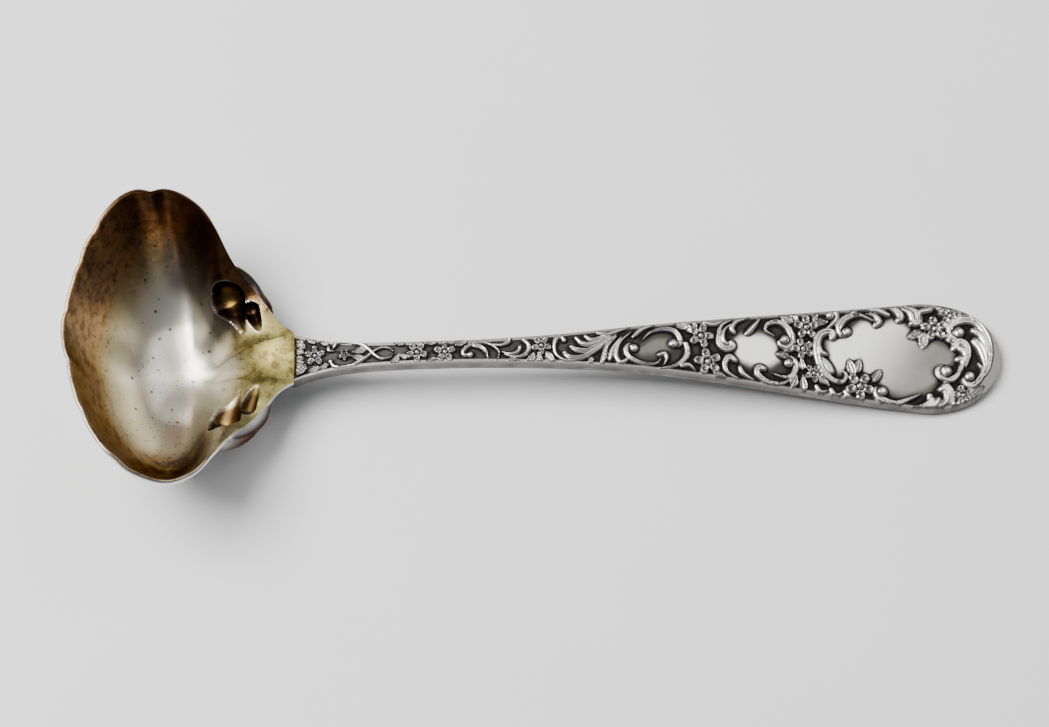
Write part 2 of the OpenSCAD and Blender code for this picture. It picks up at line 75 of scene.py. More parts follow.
LIP_X = -OVERALL_L / 2
NECK_X = LIP_X + BOWL_L
DEEP_X = LIP_X + DEEP_AT
TIP_X = OVERALL_L / 2
HANDLE_L = OVERALL_L - BOWL_L
SHOULDER_S = 100 - 100 * END_L / HANDLE_L

# Half of the rim: part of the bowl's length, part of its half width, part of the
# lip's height, lean of the wall in degrees, reach of that lean, reach of the floor.
# The last is the corner of the neck.
RIM = np.array([
    [0.000, 0.00, 0.97, 80, 0.62, 0.60],
    [0.035, 0.28, 0.98, 80, 0.62, 0.60],
    [0.100, 0.58, 0.99, 80, 0.62, 0.60],
    [0.200, 0.82, 1.00, 80, 0.60, 0.59],
    [0.300, 0.95, 0.95, 80, 0.60, 0.56],
    [0.443, 1.00, 0.84, 77, 0.60, 0.52],
    [0.560, 0.93, 0.77, 68, 0.60, 0.50],
    [0.645, 0.79, 0.71, 48, 0.58, 0.50],
    [0.728, 0.60, 0.56, 24, 0.59, 0.50],
    [0.810, 0.47, 0.44, 7, 0.68, 0.49],
    [0.885, 0.33, 0.41, -4, 0.80, 0.48],
    [0.945, 0.23, 0.385, -8, 0.98, 0.47],
    [1.000, NECK_W / (BOWL_W - 2 * RIM_T), (NECK_H + NECK_LIFT) / LIP_H, -8, 1.0, 0.47],
])
CORNER_LEAN = RIM[-1, 3]
# At the middle of the neck
NECK_LEAN = -3
NECK_FLOOR = 0.47
# Notches between the lobes: direction from the deepest point, share of the depth,
# how fast they die out down the wall
NOTCHES = [(99, 1, 5), (126, 0.5, 10), (142, 0.4, 10), (170, 0.35, 10), (200, 0.5, 10),
           (228, 0.4, 10), (251, 0.5, 8)]
# Hollows beside the neck: place along the rim, place up the wall, radius, and depth
# behind the wall as part of the radius, for the head and the tail
HOLLOWS = [
    ((8.2, 0.77, HOLLOW_R, -0.15), (9.9, 0.73, HOLLOW_R * 0.5, -0.9)),
    ((9.37, 0.89, DIMPLE_R, 0), (10.6, 0.86, DIMPLE_R * 0.6, -0.85)),
]
# Those of the +Y side lie nearer the neck by this much
HOLLOW_SHIFT = 0.2

# Scrolls: size of the line, radius of the eye at the head, course from head to tail
# in percent of the handle's length and percent of its half width
SCROLLS = [
    [1.0, 0.00, [[4.8, 52], [4.9, 32], [5.7, 28]]],
    [1.1, 0.34, [[5.1, -35], [5.6, -66], [7.0, -84], [8.6, -66], [10.2, -20], [11.2, 20],
                 [12.4, 46], [13.6, 34], [13.9, 2]]],
    [1.1, 0.00, [[5.6, 54], [6.2, 84], [7.7, 92], [9.5, 73], [10.4, 42], [11.4, -13], [12.3, -40],
                 [13.5, -32], [13.9, 2]]],
    [1.2, 0.42, [[24.7, -32], [23.8, -34], [23.7, 0], [24.7, 44], [26.4, 62], [27.9, 30],
                 [28.7, -20], [28.4, -78]]],
    [1.3, 0.00, [[25.2, 38], [26.2, 25], [26.9, -12], [27.1, -64]]],
    [1.1, 0.30, [[30.2, 78], [29.9, 50], [28.8, 34], [27.4, 50]]],
    [1.1, 0.28, [[31.6, 12], [31.2, -20], [30.1, -32], [29.0, -14]]],
    [1.2, 0.34, [[32.2, 60], [32.8, 30], [32.7, -14], [31.9, -46], [30.6, -52], [29.4, -34]]],
    [1.2, 0.36, [[37.8, 46], [37.4, 68], [36.7, 56], [36.4, 10], [36.7, -40], [38.0, -74], [40.0, -66]]],
    [1.3, 0.30, [[37.8, -30], [38.6, -56], [40.4, -52], [42.3, -12], [43.8, 28], [45.2, 58]]],
    [1.3, 0.30, [[38.8, 4], [39.7, -14], [41.3, -14], [42.8, 18], [44.4, 52]]],
    [1.2, 0.00, [[39.5, 54], [40.3, 24], [41.6, 16], [43.2, 40], [44.9, 64]]],
    [1.1, 0.00, [[40.8, 60], [41.7, 40], [43.2, 50], [45.4, 74]]],
    [1.0, 0.00, [[42.5, 74], [43.9, 62], [45.4, 74], [47.2, 88]]],
    [1.3, 0.00, [[42.9, -86], [43.3, -50], [43.8, 4], [45.2, 50]]],
    [1.1, 0.00, [[44.1, -62], [44.6, -6], [46.0, 52]]],
    [1.2, 0.00, [[46.4, -62], [45.5, -72], [45.0, -38], [45.6, 20], [47.3, 68]]],
    [1.3, 0.60, [[47.6, -6], [47.0, 8], [46.4, -14], [46.9, -48], [48.6, -70], [50.5, -68], [51.3, -46]]],
    [1.3, 0.60, [[53.1, 14], [53.9, 10], [54.1, 34], [53.3, 62], [51.6, 70], [49.9, 58], [48.7, 26]]],
    [1.0, 0.00, [[47.5, 44], [48.8, 74], [50.6, 88]]],
    [1.2, 0.00, [[51.1, -32], [51.8, -26], [52.1, -44], [51.6, -74]]],
    [1.3, 0.00, [[54.9, 14], [55.1, -14], [54.6, -42], [53.2, -70], [51.0, -86]]],
    [1.0, 0.00, [[54.2, -68], [55.2, -62], [56.1, -80]]],
    [0.9, 0.30, [[57.7, 84], [59.0, 77], [60.6, 88]]],
    [1.4, 0.00, [[61.4, 20], [61.6, 8], [60.6, 0], [59.7, 16], [59.7, 46], [60.2, 74], [61.8, 90]]],
    [0.9, 0.00, [[60.9, 14], [60.3, 28], [60.5, 58], [61.6, 78]]],
    [1.1, 0.00, [[61.9, 50], [61.6, 64], [62.3, 82], [64.2, 92]]],
    [1.2, 0.00, [[63.7, 46], [64.6, 64], [65.8, 88]]],
    [1.4, 0.60, [[69.1, 31], [68.5, 22], [69.3, 13], [70.2, 30], [69.8, 58], [68.4, 76], [66.8, 72],
                 [66.5, 55], [67.7, 40]]],
    [1.3, 0.60, [[69.4, -29], [69.7, -17], [70.5, -30], [70.1, -54], [68.9, -66], [66.9, -60]]],
    [1.3, 0.00, [[65.9, -50], [65.1, -48], [64.9, -66], [66.2, -84], [68.2, -84], [69.7, -68]]],
    [1.1, 0.00, [[62.4, -54], [62.9, -72], [64.4, -86]]],
    [1.3, 0.00, [[61.8, -34], [61.0, -24], [60.3, -44], [60.6, -72], [62.2, -88]]],
    [1.1, 0.55, [[75.9, 86], [76.8, 92], [76.8, 76], [75.9, 63], [75.0, 55]]],
    [1.5, 0.00, [[76.1, 36], [76.2, 47], [75.2, 50], [74.1, 38], [73.7, 4], [74.2, -34],
                 [75.6, -58], [77.1, -60], [77.7, -44], [77.3, -37]]],
    [1.0, 0.00, [[75.0, -2], [74.3, 4], [74.2, 24]]],
    [1.4, 0.00, [[75.6, -40], [74.9, -22], [74.1, -8]]],
    [1.5, 0.65, [[78.3, 49], [77.6, 45], [77.3, 62], [78.2, 78], [80.2, 84], [82.3, 70]]],
    [1.1, 0.00, [[84.5, 80], [82.8, 91], [80.6, 95], [78.8, 88]]],
    [1.2, 0.40, [[82.5, 60], [83.1, 69], [82.5, 80], [81.3, 85]]],
    [1.3, 0.40, [[85.9, 68], [86.3, 78], [85.2, 92], [83.6, 96]]],
    [1.3, 0.40, [[87.8, 61], [88.8, 64], [88.7, 82], [87.0, 95]]],
    [1.2, 0.00, [[88.0, 66], [87.8, 80], [86.6, 90]]],
    [1.0, 0.40, [[90.7, 86], [89.4, 83], [88.9, 84]]],
    [1.5, 0.75, [[94.6, 44], [93.7, 36], [93.5, 54], [95.2, 66], [97.2, 60], [98.4, 38], [98.8, 10],
                 [98.4, -20], [97.6, -38]]],
    [1.2, 0.00, [[96.6, 46], [97.7, 36], [98.2, 16], [98.2, -6]]],
    [1.6, 0.00, [[96.7, 26], [97.5, 14], [97.9, -10], [97.7, -28]]],
    [1.3, 0.70, [[95.5, -37], [94.8, -44], [95.6, -54], [96.9, -42], [97.4, -26], [96.8, -14]]],
    [1.5, 0.72, [[92.3, -27], [91.4, -24], [91.4, -35], [92.8, -42], [93.9, -32], [94.2, -18]]],
    [1.3, 0.00, [[93.6, 14], [94.2, 26], [95.3, 22], [95.7, 4], [95.1, -20]]],
    [1.2, 0.00, [[94.3, 15], [95.1, 6], [94.9, -16]]],
    [1.2, 0.00, [[94.0, -6], [94.7, -8], [94.4, -28]]],
    [1.3, 0.00, [[91.3, -60], [92.1, -56], [92.7, -70], [92.1, -88]]],
    [1.2, 0.00, [[91.9, -66], [91.8, -82], [90.6, -94]]],
    [1.2, 0.00, [[90.7, -79], [90.0, -90], [88.9, -96]]],
    [1.3, 0.40, [[89.5, -72], [89.5, -84], [88.4, -92], [86.8, -96]]],
    [1.4, 0.68, [[82.8, -71], [81.9, -70], [82.3, -85], [84.2, -93], [86.0, -84], [88.2, -70]]],
    [1.0, 0.00, [[73.2, -78], [73.8, -90], [74.9, -84]]],
    [1.0, 0.00, [[75.3, -81], [75.9, -93], [77.0, -84]]],
    [1.0, 0.00, [[77.3, -81], [78.0, -94], [79.2, -92]]]
]
# Flowers: station, percent across, radius, turn
FLOWERS = [
    [2.9, 4, 1.05, 90], [7.1, 0, 0.62, 60], [17.2, 0, 1.1, 54], [21.1, -5, 1.1, 90],
    [34.6, 22, 1.0, 54], [57.1, 42, 1.3, 72], [57.9, -45, 1.4, 100], [72.4, 61, 1.3, 90],
    [71.7, 9, 1.15, 36], [73.0, -48, 1.0, 60], [79.5, -66, 1.5, 54], [91.1, 51, 1.35, 95],
    [93.5, 74, 1.2, 80], [94.3, -72, 1.1, 30]
]
# Leaves: station, percent across, length, direction
LEAVES = [
    [0.8, 57, 1.8, 140], [0.6, 24, 1.5, 172], [0.5, -6, 1.5, 180], [0.6, -32, 1.5, 195],
    [0.9, -56, 1.9, 218], [2.4, 80, 1.4, 150], [4.2, 74, 1.2, 160], [2.8, -66, 1.4, 200],
    [4.2, -60, 1.2, 200], [9.2, 27, 1.7, 190], [9.0, -24, 1.5, 165], [14.2, -62, 1.7, 60],
    [14.8, 76, 1.3, 170], [15.3, -30, 1.2, 150], [19.3, 72, 1.4, 0], [19.2, -76, 1.4, 25],
    [23.3, 64, 1.6, 10], [30.8, -84, 1.6, -15], [33.2, -62, 1.7, 62], [34.3, -60, 1.4, 100],
    [35.8, -58, 1.7, -52], [41.4, -74, 1.2, 240], [54.3, 80, 1.8, 150], [55.3, 70, 1.6, 130],
    [56.3, 80, 1.3, 100], [59.4, -84, 1.6, -22], [69.5, 84, 1.9, 150], [70.8, 86, 1.4, 120],
    [73.8, 84, 1.3, 60], [74.5, 72, 1.8, 5], [69.6, 4, 1.2, 190], [68.6, -9, 1.7, 178],
    [71.4, -30, 1.5, 95], [70.1, -74, 1.8, 65], [71.4, -76, 1.9, 92], [74.3, -64, 1.6, -40],
    [78.5, -28, 2.1, 105], [79.5, -24, 1.9, 72], [82.1, -42, 1.9, 52], [88.1, 40, 2.1, 205],
    [89.3, 28, 2.3, 255], [93.0, 32, 1.4, 285], [96.3, 73, 2.1, -42], [92.2, 88, 1.4, 110],
    [96.3, -66, 2.0, 38], [92.8, -86, 1.3, 80]
]
# Plain fields: station, lower and upper edge in percent across
FIELDS = [
    [[47.6, -18, 8], [49.0, -50, 34], [50.4, -54, 58], [51.8, -44, 60], [53.2, -18, 44]],
    [[61.4, -20, 30], [62.8, -46, 54], [64.8, -56, 56], [66.8, -52, 50], [68.8, -26, 16]],
    [[74.9, -20, 34], [76.6, -48, 44], [78.6, -42, 58], [80.8, -52, 78], [83.2, -72, 70], [85.6, -84, 78],
     [87.8, -76, 56], [90.0, -62, 40], [92.0, -34, 28], [94.0, -10, 12]]
]

# How far each field is worn bright
FIELD_WEAR = (0.30, 0.95, 0.95)
# How far the brightness of a field reaches past its outline, and over what width it fades
FIELD_REACH = 0.45
FIELD_SOFT = 1.9
# Scroll lines and their eyes are broader at the foot than in the CAD, and petals are longer
LINE_SPREAD = 1.4
EYE_SPREAD = 1.1
PETAL_STRETCH = 1.25
# Lines of this size and more have a groove: its depth and its width, both parts of the line's
GROOVE_FROM = 1.25
GROOVE_DEPTH = 0.32
GROOVE_W = 0.16
# Eyes larger than this stand in a ring cut into their scroll
RING_FROM = 0.45
EYE_DENT = 0.06
# Plain border along the sides and around the tip, and its height
SIDE_BORDER = 0.72
TIP_BORDER = 1.3
BORDER_H = 0.16
# Relief and border fade over this width
EDGE_FADE = 0.25
# How far the black around the relief reaches into the open ground
HALO_REACH = 0.4
# The carved top stops short of the edge by this width, or by a part of the half width if that is less
BEVEL_W = 0.3
BEVEL_PART = 0.12
# Sides and back of the handle: part of the half width, part of the thickness below the ground
HANDLE_SECTION = [
    (1.0, -0.28), (1.0, -0.55), (0.985, -0.75), (0.93, -0.92), (0.8, -1.0), (0.4, -1.0), (0.0, -1.0),
    (-0.4, -1.0), (-0.8, -1.0), (-0.93, -0.92), (-0.985, -0.75), (-1.0, -0.55), (-1.0, -0.28),
]
# Root of the handle inside the wall of the neck: its steps, where on that wall it starts, and its
# width at the start and at the end as part of the neck's
HEEL_STEPS = (0, 0.25, 0.5, 0.75)
HEEL_FROM = 0.62
HEEL_W = (0.5, 0.96)

# Places on the finished ladle where a colour changes, in metres: the neck's green gilt along and
# across, and the dull gilt across the floor of the bowl
GREEN_ALONG = (-0.0455, -0.0385)
GREEN_ACROSS = (0.0035, 0.0068)
DULL_ACROSS = (-0.0065, -0.0012)
# The large field takes a painted shade, partly tarnish, between these parts of the way from the middle to the
# tip
FIELD_SHADE_SPAN = (0.66, 0.86)

# Fineness of the meshes
RIM_STEPS = 16
FINE_STEPS = 40
FINE_FROM = 7
NECK_STEPS = 14
INNER_ROWS = 84
OUTER_ROWS = 38
LIP_ROWS = 5
# Rows of the lip that have the colour of the inside
LIP_INSIDE = 3
# Distance within which a point is drawn to the edge of a hollow
SNAP = 0.11
SINK_ROUNDS = 40
ALONG_STEPS = 800
ROUND_STEPS = 80
ACROSS_STEPS = 96
# The last station stands just short of the tip, where the width would be zero
LAST_S = 99.995


def mix(a, b, f):
    return a + (b - a) * f


def smooth(f):
    c = np.clip(f, 0, 1)
    return c * c * (3 - 2 * c)


def hump(f, low, high, soft):
    """One between low and high, falling to zero within soft on both sides."""
    return smooth((f - low) / soft + 0.5) * smooth((high - f) / soft + 0.5)


def unit(v):
    return v / np.maximum(np.linalg.norm(v, axis=-1, keepdims=True), 1e-9)


def curve_at(points, u):
    """Points of the smooth curve that passes through the given ones, at places u."""
    p = np.asarray(points, float)
    u = np.asarray(u, float)
    last = len(p) - 1
    i = np.clip(np.floor(u).astype(int), 0, last - 1)
    f = (u - i)[:, None]
    a, b = p[np.maximum(i - 1, 0)], p[i]
    c, d = p[i + 1], p[np.minimum(i + 2, last)]
    return 0.5 * (2 * b + (c - a) * f + (2 * a - 5 * b + 4 * c - d) * f ** 2
                  + (3 * b - a - 3 * c + d) * f ** 3)


def rim_point(u, side):
    """Rim points as rows of x, y, z, lean, reach and floor."""
    before = RIM[1] * [1, -1, 1, 1, 1, 1]
    r = curve_at(np.vstack([before, RIM]), np.asarray(u, float) + 1)
    return np.stack([
        LIP_X + RIM_T + r[:, 0] * (BOWL_L - RIM_T),
        side * r[:, 1] * (BOWL_W / 2 - RIM_T),
        r[:, 2] * LIP_H,
        r[:, 3],
        r[:, 4] * r[:, 2] * LIP_H,
        r[:, 5],
    ], axis=1)


def rim_loop():
    """The whole rim once around from the middle of the neck by the +Y side."""
    last = len(RIM) - 1
    coarse = np.arange(0, FINE_FROM * RIM_STEPS) / RIM_STEPS
    fine = FINE_FROM + np.arange(0, (last - FINE_FROM) * FINE_STEPS) / FINE_STEPS
    u = np.concatenate([coarse, fine])
    f = np.linspace(0, 1, NECK_STEPS + 1)

    def neck(share):
        n = len(share)
        return np.stack([np.full(n, NECK_X), share * NECK_W / 2, NECK_H + NECK_LIFT * share ** 2,
                         mix(NECK_LEAN, CORNER_LEAN, share ** 2), np.full(n, NECK_H),
                         np.full(n, NECK_FLOOR)], axis=1)
    return np.concatenate([neck(f), rim_point(u[:0:-1], 1), rim_point(u, -1), neck(-f[:0:-1])])


def eased(reach, turn):
    """Distance to the rim, eased across the corners of the neck, for the floor of the bowl."""
    away = np.minimum(turn, 360 - turn)
    neck = BOWL_L - DEEP_AT
    return mix(neck * mix(0.97, 0.895, smooth(away / 30)), reach, smooth((away - 22) / 14))


def inside(r, v):
    """Inside of the bowl from its deepest point (v = 0) to rim points r (v = 1)."""
    out = r[:, :2] - [DEEP_X, 0]
    reach = np.linalg.norm(out, axis=1)
    turn = np.degrees(np.arctan2(out[:, 1], out[:, 0])) % 360
    lean = np.radians(r[:, 3])
    v = np.broadcast_to(v, reach.shape)
    w = 1 - v
    c0, c1, c2, c3 = w ** 3, 3 * w * w * v, 3 * w * v * v, v ** 3
    near = eased(reach, turn)
    flat = c1 * r[:, 5] * near + c2 * (near - r[:, 4] * np.cos(lean)) + c3 * reach
    rise = (c0 + c1) * WALL + c2 * (r[:, 2] - r[:, 4] * np.sin(lean)) + c3 * r[:, 2]
    cut = np.max([share * np.exp(-((turn - place) / NOTCH_SPREAD) ** 2) * v ** fade
                  for place, share, fade in NOTCHES], axis=0)
    flat = flat - NOTCH * cut
    rise = mix(WALL + flat ** 2 / (2 * FLOOR_R), rise, smooth(flat / FLOOR_R))
    return np.stack([DEEP_X + flat * out[:, 0] / reach, flat * out[:, 1] / reach, rise], axis=1)


def behind(r, v):
    """Direction square to the wall, away from the room inside the bowl."""
    t = unit(inside(r, v + 0.02) - inside(r, v - 0.02))
    out = r[:, :3] - [DEEP_X, 0, 0]
    out[:, 2] = 0
    out = unit(out)
    along = np.sum(out * t, axis=1, keepdims=True)
    return unit(out * t[:, 2:3] - along * [0, 0, 1])


def hollow_ends():
    """Both ends of each hollow: middle, radius, depth behind the wall, direction of that depth."""
    ends = []
    for side in (1, -1):
        for hollow in HOLLOWS:
            pair = []
            for u, v, radius, share in hollow:
                r = rim_point([u + (HOLLOW_SHIFT if side > 0 else 0)], side)
                pair.append((inside(r, v)[0], radius, share * radius, behind(r, v)[0]))
            ends.append(pair)
    return ends


ENDS = hollow_ends()


def swollen(p):
    """Outer points p pushed away from the middle lines of the hollows."""
    for head, tail in ENDS:
        a = head[0] + head[2] * head[3]
        b = tail[0] + tail[2] * tail[3]
        run = b - a
        f = np.clip((p - a) @ run / (run @ run), 0, 1)
        line = a + f[:, None] * run
        away = np.linalg.norm(p - line, axis=1)
        r = mix(head[1], tail[1], f) + SWELL_T
        p = line + unit(p - line) * ((away ** SWELL_POWER + r ** SWELL_POWER) ** (1 / SWELL_POWER))[:, None]
    return p


def into_hollow(p, head, tail):
    """Depth of points p inside one hollow, above zero within it, and the way out of it."""
    a = head[0] + head[2] * head[3]
    b = tail[0] + tail[2] * tail[3]
    run = b - a
    f = np.clip((p - a) @ run / (run @ run), 0, 1)
    away = p - (a + f[:, None] * run)
    return mix(head[1], tail[1], f) - np.linalg.norm(away, axis=1), unit(away)


def sink_hollows(p, normal):
    """Inner points moved out to the walls of the hollows, how deep each went, and how near an edge it lies on
    the -X side, for a painted highlight line.
    """
    moved = p.copy()
    depth = np.zeros(len(p))
    highlight_edge_share = np.zeros(len(p))
    for head, tail in ENDS:
        start, way = into_hollow(moved, head, tail)
        edge = np.where(np.abs(start) < SNAP)[0]
        along = unit(way[edge] - np.sum(way[edge] * normal[edge], axis=1, keepdims=True) * normal[edge])
        share = np.maximum(np.sum(along * way[edge], axis=1), 0.35)
        moved[edge] += (start[edge] / share)[:, None] * along
        start, way = into_hollow(moved, head, tail)
        near_edge = np.where(start > 0, 1, np.exp(-(start / 0.1) ** 2))
        highlight_edge_share = np.maximum(highlight_edge_share, near_edge * smooth(0.5 - 0.8 * way[:, 0]))
        near = np.where(start > 0.02)[0]
        q = moved[near].copy()
        for _ in range(SINK_ROUNDS):
            q += np.maximum(into_hollow(q, head, tail)[0], 0)[:, None] * normal[near]
        depth[near] = np.maximum(depth[near], np.linalg.norm(q - moved[near], axis=1))
        moved[near] = q
    return moved, depth, highlight_edge_share


def grid_faces(first, second, n):
    """Quads between two rings of n points that start at these numbers."""
    i = np.arange(n)
    k = (i + 1) % n
    return np.stack([first + i, first + k, second + k, second + i], axis=1)


def inner_stains_and_reflections(turn, v):
    """Masks of the tarnish, painted reflection and painted shade inside, by the direction in degrees and the
    part of the way up the wall.
    """
    front_from = mix(0.6, 0.5, smooth((turn - 215) / 45))
    return {
        "far": hump(turn, 34, 114, 24) * smooth((v - 0.52) / 0.3),
        "darkest_reflection_and_tarnish": 0.5 * hump(turn, 64, 110, 18) * smooth((v - 0.72) / 0.22),
        "front": hump(turn, 106, 268, 24) * smooth((v - front_from) / 0.14),
        "grey": hump(turn, 34, 100, 12) * hump(v, 0.42, 0.85, 0.12),
        "blotch": hump(turn, 250, 288, 12) * hump(v, 0.48, 0.8, 0.14),
        "sooty": smooth((turn - 150) / 50) * smooth((300 - turn) / 24) * smooth((v - 0.5) / 0.2),
    }


def outer_tarnish(turn, v):
    """Mask of the tarnish on the swells outside, behind the hollows."""
    return (hump(turn, 18, 85, 14) * hump(v, 0.45, 1.02, 0.05)
            + hump(turn, 300, 345, 12) * hump(v, 0.45, 0.98, 0.05))


def build_bowl():
    """Points, faces and masks of the bowl."""
    loop = rim_loop()
    n = len(loop)
    reach = np.linalg.norm(loop[:, :2] - [DEEP_X, 0], axis=1)
    inner_v = np.linspace(0, 1, INNER_ROWS + 1)[1:] ** 0.9
    rows = np.stack([inside(loop, v) for v in inner_v])
    along = np.roll(rows, -1, axis=1) - np.roll(rows, 1, axis=1)
    up = np.gradient(rows, axis=0)
    normals = unit(np.cross(along, up))
    inner, depth, highlight_edges = sink_hollows(rows.reshape(-1, 3), normals.reshape(-1, 3))
    inner = inner.reshape(rows.shape)

    worn_v = WORN_R / (1.7 * reach)
    outer_v = [worn_v] + [mix(worn_v, 1, f) for f in np.linspace(0, 1, OUTER_ROWS + 1)[1:]]
    base = np.stack([inside(loop, v) for v in outer_v])
    along = np.roll(base, -1, axis=1) - np.roll(base, 1, axis=1)
    up = np.gradient(base, axis=0)
    out_normals = unit(np.cross(along, up))
    outer = []
    for j, v in enumerate(outer_v):
        share = np.broadcast_to(v, reach.shape)[:, None]
        # The wall thins close to the rim, and the swell fades there and near the table
        q = base[j] + mix(WALL, RIM_T, share ** 6) * out_normals[j]
        outer.append(mix(q, swollen(q), (1 - share ** 30) * smooth(q[:, 2:] / 4)))
    outer = np.stack(outer)
    # The first rows rise from the flat worn spot
    rise = smooth(np.linspace(0, 1, OUTER_ROWS + 1) * 6)
    outer[:, :, 2] *= rise[:, None]

    top_in, top_out = inner[-1], outer[-1]
    middle, half = (top_in + top_out) / 2, (top_out - top_in) / 2
    # The lip is rounded up, and only slightly beside the neck
    crown = np.where(loop[:, 0] < NECK_X - 0.01, 1.0, 0.2)[:, None] * [0, 0, RIM_T * 0.4]
    lip = [middle - math.cos(a) * half + math.sin(a) * crown
           for a in np.linspace(0, math.pi, LIP_ROWS + 2)[1:-1]]

    rings = list(inner) + lip + list(outer[::-1])
    points = np.concatenate([[[DEEP_X, 0, WALL]], *rings, [[DEEP_X, 0, 0]]])
    turn = np.degrees(np.arctan2(loop[:, 1], loop[:, 0] - DEEP_X)) % 360
    v = inner_v[:, None]
    inner_masks = {"up_wall": v + 0 * turn, "gilt": 1 + 0 * v * turn, "sunk": depth, "hollow_edge_highlight": highlight_edges,
                   **inner_stains_and_reflections(turn, v)}
    v = np.array([np.broadcast_to(f, turn.shape) for f in outer_v[::-1]])
    tarnish = outer_tarnish(turn, v)
    outer_masks = {"up_wall": v, "tarnish": tarnish, "sooty": tarnish}
    # The lip is worn to silver beside the neck
    worn_lip = smooth((58 - turn) / 14) + smooth((turn - 306) / 14)
    masks = {}
    for name in [*inner_masks, "tarnish"]:
        values = inner_masks.get(name, np.zeros(INNER_ROWS * n)).reshape(INNER_ROWS, n)
        lip_values = np.repeat(values[-1][None], LIP_ROWS, axis=0)
        if name != "up_wall":
            lip_values = lip_values * (1 - worn_lip)
            lip_values[LIP_INSIDE:] = 0
        first = 1.0 if name == "gilt" else 0.0
        outside = outer_masks.get(name, np.zeros_like(v))
        masks[name] = np.concatenate([[first], values.ravel(), lip_values.ravel(), outside.ravel(), [0]])
    quads = [grid_faces(1 + k * n, 1 + (k + 1) * n, n) for k in range(len(rings) - 1)]
    i = np.arange(n)
    k = (i + 1) % n
    fans = [np.stack([np.zeros(n, int), 1 + k, 1 + i], axis=1),
            np.stack([np.full(n, len(points) - 1), 1 + (len(rings) - 1) * n + i,
                      1 + (len(rings) - 1) * n + k], axis=1)]
    return points, np.concatenate(quads).tolist() + np.concatenate(fans).tolist(), masks


def handle_x(s):
    return NECK_X + s / 100 * HANDLE_L


def side_w(s):
    """Half width of the tapering sides at stations s."""
    f = np.clip((s - STEM_S) / (SHOULDER_S - STEM_S), 0, 1)
    g = np.clip((STEM_S - s) / STEM_S, 0, 1)
    spread = f * f * (3 - 2 * f) + 1.1 * f * f * (f - 1)
    return (STEM_W + (BLADE_W - STEM_W) * spread + (NECK_W - STEM_W) * g ** 4) / 2


def edge_w(s):
    """Half width of the handle, with its round end."""
    e = np.clip((s - SHOULDER_S) / (100 - SHOULDER_S), 0, 1)
    return side_w(s) * (1 - e ** END_POWER) ** (1 / END_POWER)


def ground(s):
    """Height of the ground of the handle."""
    rise = 1 - (1 - np.clip(s / 22, 0, 1)) ** 2
    return mix(mix(NECK_H, ARCH_H, rise), BLADE_T, smooth((s - 42.5) / 53))


def thick(s):
    return mix(STEM_T, BLADE_T, smooth((s - 20) / 60))


def line_w(s):
    return mix(STEM_LINE, BLADE_LINE, np.clip((side_w(s) * 2 - STEM_W) / (BLADE_W - STEM_W), 0, 1))


def plan(s, t):
    """Places on the handle seen from above."""
    s = np.asarray(s, float)
    t = np.asarray(t, float)
    return np.stack([handle_x(s), t / 100 * side_w(s)], axis=-1)


def near_box(xy, low, high, margin):
    """Numbers of the points within a box and its margin."""
    return np.where(np.all((xy > low - margin) & (xy < high + margin), axis=1))[0]


def raise_line(xy, height, size, places):
    """A rounded scroll line, with a fine groove along it where it is broad."""
    course = curve_at(places, np.linspace(0, len(places) - 1, 9 * (len(places) - 1) + 1))
    path = plan(course[:, 0], course[:, 1])
    widths = size * line_w(course[:, 0]) / 2
    f = np.linspace(0, 1, len(path))
    grow = mix(0.72, 1, np.sin(np.pi * f)) * mix(1, 0.3, f * f)
    half = widths * grow * LINE_SPREAD
    near = near_box(xy, path.min(axis=0), path.max(axis=0), half.max() + 0.1)
    if not len(near):
        return
    q = xy[near]
    a, b = path[:-1], path[1:]
    run = b - a
    along = np.sum((q[:, None] - a) * run, axis=2)
    share = np.clip(along / np.maximum(np.sum(run * run, axis=1), 1e-9), 0, 1)
    away = np.linalg.norm(q[:, None] - (a + share[..., None] * run), axis=2)
    wide = mix(half[:-1], half[1:], share)
    ratio = away / wide
    pick = np.argmin(ratio, axis=1)
    rows = np.arange(len(near))
    ratio = ratio[rows, pick]
    place = (pick + share[rows, pick]) / (len(path) - 1)
    body = np.sqrt(np.clip(1 - ratio ** 2, 0, 1)) * mix(0.6, 1, np.interp(place, f, grow))
    if size >= GROOVE_FROM:
        groove = np.exp(-(ratio / GROOVE_W) ** 2) * smooth(place * 5) * smooth((1 - place) * 5)
        body = body - GROOVE_DEPTH * groove
    height[near] = np.maximum(height[near], body * RELIEF_H)


def dome(xy, height, middle, radius, high, dent=0.0):
    """A round button with an optional dent in its middle."""
    near = near_box(xy, middle, middle, radius)
    if not len(near):
        return
    u, v = ((xy[near] - middle) / radius).T
    away = u * u + v * v
    body = np.sqrt(np.clip(1 - away, 0, 1)) * high - dent * np.exp(-away / 0.1)
    height[near] = np.maximum(height[near], np.where(away < 1, body, 0))


def cut_ring(xy, height, middle, radius):
    """A narrow dip around a round eye, so that it stands clear of the line that holds it."""
    near = near_box(xy, middle, middle, radius * 1.4)
    away = np.linalg.norm(xy[near] - middle, axis=1) / radius
    height[near] *= 1 - 0.7 * hump(away, 0.95, 1.25, 0.12)


def raise_petal(xy, height, middle, radius, turn):
    """A long loop with a hollow middle."""
    near = near_box(xy, middle, middle, radius * PETAL_STRETCH)
    q = xy[near] - middle
    u = (q[:, 0] * math.cos(turn) + q[:, 1] * math.sin(turn)) / (radius * PETAL_STRETCH)
    v = (q[:, 1] * math.cos(turn) - q[:, 0] * math.sin(turn)) / radius
    away = np.hypot(u * (1 - 0.25 * v * v), v)
    body = 0.3 + 0.7 * np.exp(-((away - 0.66) / 0.24) ** 2)
    height[near] = np.maximum(height[near], np.where(away < 1, body, 0) * RELIEF_H)


